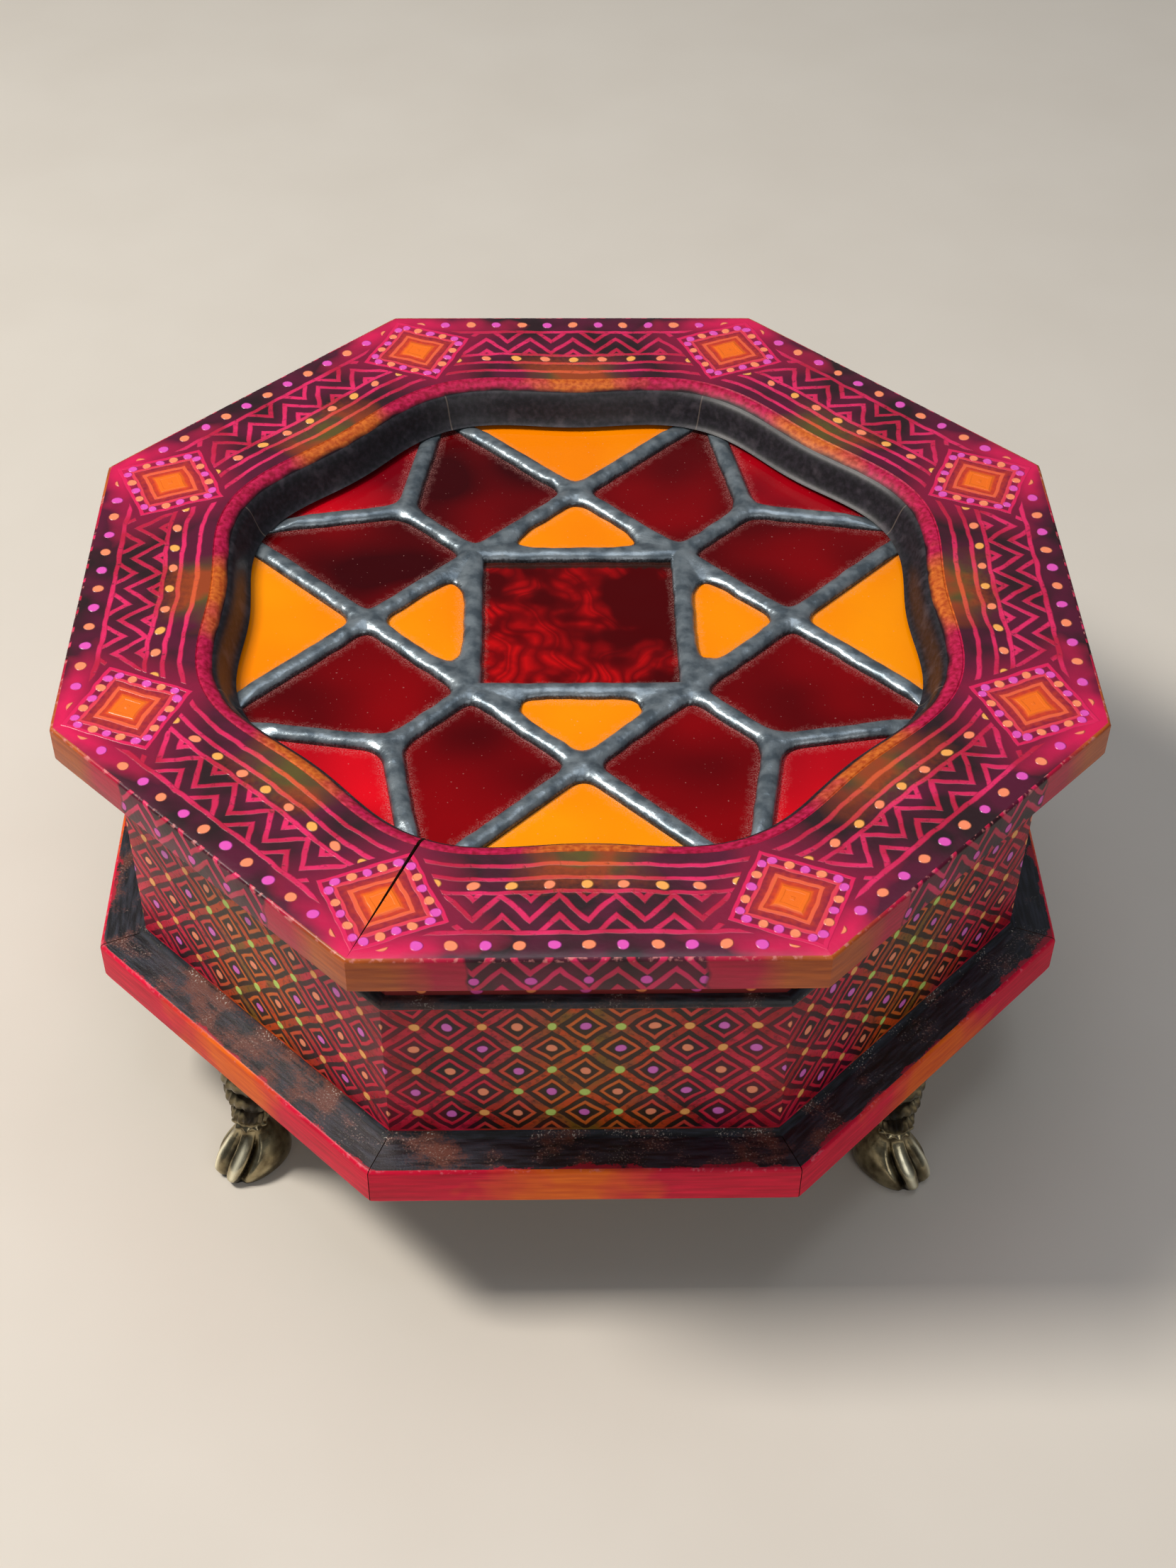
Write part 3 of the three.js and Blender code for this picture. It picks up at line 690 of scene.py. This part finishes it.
def lead_strip(corners, border=None, fill=(), outer=False):
    """Rows of points from a came's middle line over its back to its edge, in under the
    flange to the heart, and the same way back below, all round one opening. Each point
    also gets its share of the way to the edge."""
    corners = np.array(corners)
    on_border = np.arange(len(corners)) == border
    lengths = np.linalg.norm(np.roll(corners, -1, 0) - corners, axis=1)
    counts = np.round(lengths / SAMPLE).astype(int)
    middle = sampled(corners, counts)
    edge = sampled(inset(corners, np.full(len(corners), CAME_HALF)), counts, fill)
    if border is None and not outer:
        edge = middle + (edge - middle) * (1 + 0.09 * lumps(edge, 3.1, 0.7))[:, None]
    depth = np.where(on_border, 2 * HEART_HALF - CAME_HALF, HEART_HALF)
    heart = sampled(inset(corners, depth), counts)
    points, shares = [], []

    def add_row(place, level, share):
        points.append(np.column_stack([place, np.broadcast_to(level, len(place)) + panel_middle]))
        shares.append(np.full((len(place), 3), share))

    for share in np.sin(np.linspace(0, math.pi / 2, 9)):
        place = middle + share * (edge - middle)
        add_row(place, lead_levels(place, share), share)
    if not outer:
        add_row(edge, glass_rise, 1)
        add_row(heart, glass_rise, 1)
        add_row(heart, -glass_rise, 1)
        add_row(edge, -glass_rise, 1)
    for share in np.sin(np.linspace(math.pi / 2, 0, 5)):
        low_edge = glass_rise + CAME_EDGE
        level = low_edge + (came_rise - low_edge) * math.sqrt(1 - min(share, 1) ** 2)
        add_row(middle + share * (edge - middle), -level, share)
    count, wide = len(points), len(middle)
    j, i = np.meshgrid(np.arange(count - 1), np.arange(wide), indexing="ij")
    k = (i + 1) % wide
    quads = np.stack([j * wide + i, j * wide + k, (j + 1) * wide + k, (j + 1) * wide + i], -1)
    return np.concatenate(points), np.concatenate(shares), quads.reshape(-1, 4)


def merge_doubles(piece, distance=0.002):
    """Joins points that lie at one place, within a distance in millimetres."""
    work = bmesh.new()
    work.from_mesh(piece.data)
    bmesh.ops.remove_doubles(work, verts=work.verts, dist=distance * MM)
    work.to_mesh(piece.data)
    work.free()


rim_corners = np.concatenate([np.array([(CORNER, panel_apothem), (panel_apothem, CORNER)]) @ turn
                              for turn in quarter_turns[::-1]])
middle_square = [np.array([SQUARE, SQUARE]) @ turn for turn in quarter_turns]
strips = [lead_strip(middle_square), lead_strip(rim_corners, outer=True)]
for corners, border, fill in OPENINGS:
    for turn in quarter_turns:
        strips.append(lead_strip(np.array(corners) @ turn, border, fill))
starts = np.cumsum([0] + [len(strip[0]) for strip in strips[:-1]])
lead = Finish("lead_came", Metallic=0.6)
share = lead.axes(lead.field("Lead"))[0]
patina = lead.noise(4.5, 4.0)
marks = lead.noise(0.55, 3.0)
dents = lead.noise(2.2, 1.0)
grey = lead.mix(srgb(146, 156, 162), srgb(94, 105, 113), patina.ramp(0.38, 0.62))
grey = lead.mix(grey, srgb(46, 48, 50), (share + (marks - 0.5) * 0.35).ramp(0.88, 1.02) * 0.85)
lead.wear(Base_Color=grey, Roughness=patina * 0.2 + 0.22,
          Normal=lead.bump(marks * 0.25 + dents + patina * 0.3, 0.17))
lattice = make_piece("lead_came_lattice", np.concatenate([strip[0] for strip in strips]),
                     np.concatenate([strip[2] + start for strip, start in zip(strips, starts)]).tolist(),
                     [lead], fields={"Lead": np.concatenate([strip[1] for strip in strips])}, crease=60)
merge_doubles(lattice)
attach(lattice, "root")
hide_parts("lead_lattice")

# Glasses: cathedral and opalescent sheets, cut to the openings and held in the lead.
# They are glossy and a little wavy, with dust and putty left along the cames.

branch = unit(np.array([CORNER - FORK, panel_apothem - FORK]))
# Each kind's edges as a share of the larger and the smaller of x and y, and a start
GLASS_EDGES = {
    "centre": [(-1, 0, SQUARE)],
    "amber_inner": [(1, 0, -SQUARE), (-DIAGONAL, -DIAGONAL, 2 * SQUARE * DIAGONAL)],
    "amber_outer": [(DIAGONAL, -DIAGONAL, -2 * SQUARE * DIAGONAL)],
    "ruby": [(DIAGONAL, DIAGONAL, -2 * SQUARE * DIAGONAL),
             (-DIAGONAL, DIAGONAL, 2 * SQUARE * DIAGONAL), (DIAGONAL, -DIAGONAL, 0),
             (branch[0], -branch[1], (branch[1] - branch[0]) * FORK)],
    "cherry": [(-branch[0], branch[1], (branch[0] - branch[1]) * FORK)],
}


def putty_film(glass, kind, reach=5.2):
    """Dust in a band along the nearest edge, which is the least of the distances to all
    of the glass's edges, broken up into specks."""
    x, y, _ = glass.axes()
    large, small = abs(x).high(abs(y)), abs(x).low(abs(y))
    edge = None
    for first, second, start in GLASS_EDGES[kind]:
        distance = large * first + small * second + start
        edge = distance if edge is None else edge.low(distance)
    specks = glass.noise(0.4, 2.0).ramp(0.42, 0.7)
    return (edge + (glass.noise(1.6, 3.0) - 0.5) * 4).ramp(reach, 2.4) * specks


def glass_finish(kind, deep, bright, dust):
    """Coloured sheet glass, whose colour drifts across the sheet. Painted light makes it brighter
    towards the front right."""
    glass = Finish(f"{kind}_glass", Roughness=0.07, Specular_IOR_Level=0.22)
    x, y, _ = glass.axes()
    # glow is a random drift plus painted light, brighter towards the front right, +x and −y
    glow = glass.noise(30, 1.0) + x * 0.0011 - y * 0.0018
    colour = glass.mix(srgb(*deep), srgb(*bright), glow.ramp(0.26, 0.78))
    stars = glass.noise(0.7, 0.0).ramp(0.8, 0.86)
    dusty = (putty_film(glass, kind) * 0.6 + stars * 0.4).low(0.7)
    colour = glass.mix(colour, srgb(*dust), dusty)
    return glass.wear(Base_Color=colour, Normal=glass.bump(glass.noise(7, 1.0), 0.12))


def swirled_glass():
    """Dark ruby with streams of brighter red, which run side by side, bend together and fade, and are
    stronger on the left and in front. A dark brown band runs along the far edge."""
    glass = Finish("centre_glass", Roughness=0.08, Specular_IOR_Level=0.2)
    x, y, _ = glass.axes()
    bend = glass.noise(16, 1.0)
    across = x + bend * 32 + y * 0.25
    stream = across.repeat(4.6).near(2.2, 1.2).high(across.repeat(6.7).near(1.0, 0.6))
    glow = glass.noise(12, 1.5) - x * 0.0045 - y * 0.003
    colour = glass.mix(srgb(72, 0, 2), srgb(112, 2, 6), glow.ramp(0.38, 0.64))
    broken = glass.noise(6, 2.0).ramp(0.36, 0.58)
    colour = glass.mix(colour, srgb(190, 8, 12), stream * broken * glow.ramp(0.4, 0.72))
    colour = glass.mix(colour, srgb(170, 126, 118), putty_film(glass, "centre", 4.2) * 0.6)
    # a dark brown band along the far edge, +y, of the centre glass
    far_edge_band = (y + (glass.noise(1.6, 2.0) - 0.5) * 2).ramp(SQUARE - 5.2, SQUARE - 4.6)
    colour = glass.mix(colour, srgb(40, 24, 18), far_edge_band * 0.85)
    return glass.wear(Base_Color=colour, Normal=glass.bump(bend, 0.6))


glass_finishes = {
    "glass_centre": swirled_glass(),
    "glass_amber_inner": glass_finish("amber_inner", (242, 128, 0), (252, 148, 2), (226, 160, 120)),
    "glass_amber_outer": glass_finish("amber_outer", (242, 128, 0), (252, 150, 2), (226, 160, 120)),
    "glass_ruby": glass_finish("ruby", (54, 0, 3), (134, 1, 7), (190, 132, 126)),
    "glass_cherry": glass_finish("cherry", (112, 3, 16), (220, 10, 28), (214, 130, 130)),
}
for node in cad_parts:
    for start, finish in glass_finishes.items():
        if node.startswith(start):
            dress(node, finish)

# Lid frame: eight boards mitred round a wavy opening. The top is painted with nested
# diamonds, chevrons, ripples and dots, and the moulding down to the glass is black.
# The mitre at the front left has opened in a crack from the inside.

lid_apothem, lid_top, lid_bottom = -frame_low[1], frame_high[2], frame_low[2]
OPENING_RADIUS, OPENING_WAVE = 95.0, SIGHT_WAVE
BAND_WIDTH, BAND_DROP, OGEE_WIDTH, OGEE_SWELL = 3.4, 1.8, 5.1, 0.1
MEDAL_PLACE, MEDAL_SIZE = 116.5, 16.8
CHEVRON_PITCH, CHEVRON_RISE, CHEVRON_SLOPE, RING_PITCH = 12.4, 5.8, 1.15, 4.2
EDGE_DOT_PITCH, RING_DOT_PITCH, MEDAL_DOT_PITCH = 7.36, 7.46, 5.32
CRACK, CRACK_REACH, CRACK_FADE = 0.45, 134.0, 36.0
opening = OPENING_RADIUS - OPENING_WAVE * np.cos(8 * side_angle)


class LidPaint(Paint):
    """Paint on the lid, with the distances that its pattern follows: from the outer edge,
    out from the opening's wavy edge, and round the axis."""

    def __init__(self, name, **constants):
        super().__init__(name, 0.5, 7.0, **constants)
        self.edge = lid_apothem - self.out
        self.turn = self.along.math("ARCTAN2", self.out)
        wave = (self.turn * 8).cos() * OPENING_WAVE
        self.ripple = self.along.length(self.out) - OPENING_RADIUS + wave
        self.warm = ((self.aside + (self.cloud - 0.5) * 24).ramp(17, 5)
                     * (self.ripple + (self.streaks - 0.5) * 8).ramp(14, 5))
        self.glow = self.mix(srgb(168, 70, 20), srgb(92, 88, 24), self.cloud.ramp(0.45, 0.58))


def lid_top_paint():
    """Dots and a line along the outer edge, chevrons inside them, ripples with dots that
    follow the opening, and nested diamonds with an orange heart over each mitre."""
    paint = LidPaint("lid_top_paint", Roughness=0.34, Coat_Weight=0.45)
    edge, ripple = paint.edge, paint.ripple
    mitre_way = paint.out * math.cos(HALF_SIDE) + paint.aside * math.sin(HALF_SIDE)
    on_mitre = abs(mitre_way - MEDAL_PLACE)
    diamond = paint.to_mitre + on_mitre
    medal = diamond.ramp(MEDAL_SIZE + 0.2, MEDAL_SIZE - 0.2)
    clear = diamond.ramp(MEDAL_SIZE + 1.1, MEDAL_SIZE + 1.4)
    near_corner = (diamond + (paint.cloud - 0.5) * 26).ramp(30, 17)
    dark = paint.mix(srgb(38, 11, 16), srgb(84, 6, 42), paint.cloud.ramp(0.38, 0.6))
    dark = paint.mix(dark, srgb(140, 6, 56), near_corner * 0.8)
    dark = paint.mix(dark, srgb(218, 16, 82), near_corner * edge.ramp(9, 3))
    heart = (diamond + (paint.streaks - 0.5) * 7).ramp(12, 3)
    dark = paint.mix(dark, srgb(226, 70, 16), heart)
    paint.colour = paint.mix(dark, paint.glow, paint.warm * 0.75)
    stroke = paint.mix(srgb(186, 20, 60), srgb(228, 36, 100), paint.cloud.ramp(0.4, 0.62))
    stroke = paint.mix(stroke, srgb(214, 88, 46), paint.warm)
    brushed = clear * paint.streaks.ramp(0.18, 0.42)
    chevron = (edge - abs(paint.along.repeat(CHEVRON_PITCH)) * CHEVRON_SLOPE).repeat(CHEVRON_RISE)
    field = edge.ramp(8.5, 8.8) * ripple.ramp(12.7, 13.0)
    paint.lay(chevron.near(1.9, 0.24) * field * brushed, stroke)
    paint.lay((edge - 8).near(1.2) * brushed, stroke)
    rings = ripple.repeat(RING_PITCH).near(1.15) * ripple.ramp(1.8, 2.2) * ripple.ramp(13.7, 13.4)
    paint.lay(rings * brushed, stroke)
    fire = paint.mix(srgb(244, 120, 22), srgb(222, 24, 88), diamond.ramp(4, 13))
    paint.lay(diamond.repeat(3.8).near(1.4) * medal, fire)
    paint.lay(diamond.ramp(5.6, 4.2), srgb(246, 112, 14), 0.8)
    salmon, violet, gold = srgb(252, 142, 100), srgb(228, 84, 186), srgb(248, 172, 84)
    colour = paint.mix(salmon, violet, paint.along.odd(EDGE_DOT_PITCH))
    paint.dots(paint.along.repeat(EDGE_DOT_PITCH), edge - 4.3, 2.7, colour, clear)
    swing = paint.turn * OPENING_RADIUS
    colour = paint.mix(gold, salmon, swing.odd(RING_DOT_PITCH))
    paint.dots(swing.repeat(RING_DOT_PITCH), ripple - 10.5, 2.4, colour, clear)
    slip = paint.to_mitre - on_mitre
    colour = paint.mix(violet, salmon, slip.odd(MEDAL_DOT_PITCH))
    paint.dots((diamond - 13.3) * DIAGONAL, slip.repeat(MEDAL_DOT_PITCH) * DIAGONAL, 2.3, colour)
    return paint.dry()


def lid_edge_paint():
    """The board's outer edge: orange brown at the corners, crimson beside it, and the
    pattern's dark ground in the middle, with slanting strokes and dots."""
    paint = Paint("lid_edge_paint", 0.5, 6.0, Roughness=0.42, Coat_Weight=0.08,
                  Specular_IOR_Level=0.3)
    rise = paint.level - lid_bottom
    place = paint.aside + (paint.cloud - 0.5) * 10
    brushed = paint.noise(2.0, 3.0, (0.15, 0.15, 2.0))
    brown = paint.mix(srgb(150, 64, 22), srgb(198, 98, 32), brushed.ramp(0.25, 0.75))
    red = paint.mix(srgb(160, 6, 46), srgb(200, 14, 64), brushed.ramp(0.25, 0.75))
    dark = paint.mix(srgb(44, 10, 20), srgb(90, 8, 42), paint.cloud.ramp(0.4, 0.6))
    colour = paint.mix(dark, red, place.ramp(25.5, 26.5))
    paint.colour = paint.mix(colour, brown, place.ramp(34, 42))
    inside = place.ramp(26, 25)
    stroke = paint.mix(srgb(186, 20, 60), srgb(224, 34, 96), paint.cloud.ramp(0.4, 0.62))
    slant = (rise - abs(paint.along.repeat(CHEVRON_PITCH)) * CHEVRON_SLOPE).repeat(CHEVRON_RISE)
    paint.lay(slant.near(1.9, 0.24) * inside, stroke)
    paint.dots(paint.along.repeat(CHEVRON_PITCH), rise - 3.4, 2.4, srgb(228, 84, 186), inside)
    chips = paint.level.ramp(lid_top - 0.75, lid_top - 0.4) * paint.noise(1.6, 3.0).ramp(0.54, 0.66)
    paint.lay(chips * 0.6, srgb(222, 140, 136), 0)
    return paint.dry()


def band_paint():
    """The rounded inner edge: brushed crimson and pink, with orange at the sides'
    middles, running out into black."""
    paint = LidPaint("lid_band_paint", Roughness=0.5, Specular_IOR_Level=0.22)
    place = paint.aside + (paint.cloud - 0.5) * 30
    pink = paint.mix(srgb(142, 8, 44), srgb(196, 28, 80), paint.streaks.ramp(0.35, 0.65))
    orange = paint.mix(srgb(172, 70, 24), srgb(212, 110, 40), paint.streaks.ramp(0.35, 0.65))
    paint.colour = paint.mix(pink, orange, place.ramp(18, 8))
    paint.lay(paint.ripple.ramp(-2.4, -3.4), srgb(30, 10, 18), 0)
    return paint.dry(0.1)


def ogee_lacquer():
    """Black lacquer with a dusty bloom, and a fine pale line where the mitres meet."""
    paint = Paint("ogee_lacquer", 0.1, Roughness=0.46)
    colour = paint.mix(srgb(16, 13, 18), srgb(44, 38, 46), paint.streaks.ramp(0.4, 0.75))
    dusty = paint.noise(5, 4.0).ramp(0.56, 0.72)
    paint.colour = paint.mix(colour, srgb(84, 76, 82), dusty * 0.45)
    paint.lay(paint.to_mitre.near(0.3, 0.12) * 0.5, srgb(128, 112, 100), 0)
    return paint.dry(0.06)


lid_finishes = {
    "edge": lid_edge_paint(),
    "top": lid_top_paint(),
    "band": band_paint(),
    "ogee": ogee_lacquer(),
    "under": black_stain("lid_under_stain", 0.3),
    "cut": raw_edge,
}
lid_rows = straight("edge", [*arc(lid_apothem - 0.6, lid_bottom + 0.6, 0.6, -90, 0, 4),
                             *arc(lid_apothem - 0.8, lid_top - 0.8, 0.8, 0, 60, 4)])
outer = octagon(lid_apothem - 0.8)
lid_rows += [("top", outer * (1 - share) + (opening + 0.6) * share, lid_top)
             for share in np.linspace(0, 1, 12)[:-1]]
lid_rows += [("band", opening + 0.6, lid_top), ("band", opening + 0.3, lid_top - 0.3)]
lid_rows += [("band", opening - share * BAND_WIDTH, lid_top - 0.05 - share ** 2 * (BAND_DROP - 0.05))
             for share in np.linspace(0, 1, 9)[:-1]]
ogee_height = lid_top - BAND_DROP - lid_bottom
lid_rows += [("ogee", opening - BAND_WIDTH - share * OGEE_WIDTH,
              lid_top - BAND_DROP - (share - OGEE_SWELL * math.sin(2 * math.pi * share)) * ogee_height)
             for share in np.linspace(0, 1, 17)[:-1]]
lid_rows += [("under", opening - BAND_WIDTH - OGEE_WIDTH, lid_bottom)]
at_mitre = np.array([row[1][0] for row in lid_rows])
crack = CRACK * slide(at_mitre, CRACK_REACH, CRACK_REACH - CRACK_FADE) ** 0.7
for side, side_name in enumerate(SIDE_NAMES):
    drawn_back = (crack * (side_name == "front"), crack * (side_name == "front_left"))
    piece = board(f"lid_board_{side_name}", side, lid_rows, lid_finishes, drawn_back)
    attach(piece, "root")
    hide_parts(f"lid_frame_{side_name}")

# The photograph's view, with a plain pale floor and soft studio light.

LENS = 51.34
CAMERA_PLACE = Vector((-10.50, -439.46, 481.20)) * MM
CAMERA_TARGET = Vector((0.77, -71.39, 126.30)) * MM
CAMERA_ROLL = math.radians(0.921)

forward = (CAMERA_TARGET - CAMERA_PLACE).normalized()
level_right = forward.cross(Vector((0, 0, 1))).normalized()
level_up = level_right.cross(forward)
right = level_right * math.cos(CAMERA_ROLL) + level_up * math.sin(CAMERA_ROLL)
up = level_up * math.cos(CAMERA_ROLL) - level_right * math.sin(CAMERA_ROLL)
turned = Matrix((right, up, -forward)).transposed().to_4x4()
camera = bpy.data.objects.new("camera", bpy.data.cameras.new("camera"))
camera.data.lens = LENS
camera.data.sensor_fit = "AUTO"
camera.data.sensor_width = 36
camera.matrix_world = Matrix.Translation(CAMERA_PLACE) @ turned
bpy.context.scene.collection.objects.link(camera)
bpy.context.scene.camera = camera

floor_finish = Finish("floor_finish", Roughness=0.8)
floor_finish.wear(Base_Color=floor_finish.mix(
    srgb(214, 206, 194), srgb(222, 215, 204), floor_finish.noise(60, 3.0)))
FLOOR_HALF = 4000
floor = make_piece("floor", [(-FLOOR_HALF, -FLOOR_HALF, 0), (FLOOR_HALF, -FLOOR_HALF, 0),
                             (FLOOR_HALF, FLOOR_HALF, 0), (-FLOOR_HALF, FLOOR_HALF, 0)],
                   [(0, 1, 2, 3)], [floor_finish])


def add_light(name, place, size, power, colour):
    """A square soft light at a place in millimetres that faces the lid."""
    light = bpy.data.objects.new(name, bpy.data.lights.new(name, "AREA"))
    light.data.size = size * MM
    light.data.energy = power
    light.data.color = colour
    at = Vector(place) * MM
    light.rotation_euler = (Vector((0, 0, 0.1)) - at).to_track_quat("-Z", "Y").to_euler()
    light.location = at
    bpy.context.scene.collection.objects.link(light)


add_light("key", (-760, 0, 1150), 300, 16, (1.0, 0.95, 0.88))
add_light("sky", (100, 150, 1500), 900, 4.5, (0.86, 0.92, 1.0))
add_light("front", (500, -1300, 900), 900, 4, (1.0, 0.98, 0.96))
world = bpy.data.worlds.new("studio")
world.use_nodes = True
world.node_tree.nodes["Background"].inputs["Color"].default_value = (0.8, 0.86, 0.95, 1)
world.node_tree.nodes["Background"].inputs["Strength"].default_value = 0.16
bpy.context.scene.world = world
bpy.context.scene.view_settings.view_transform = "Standard"
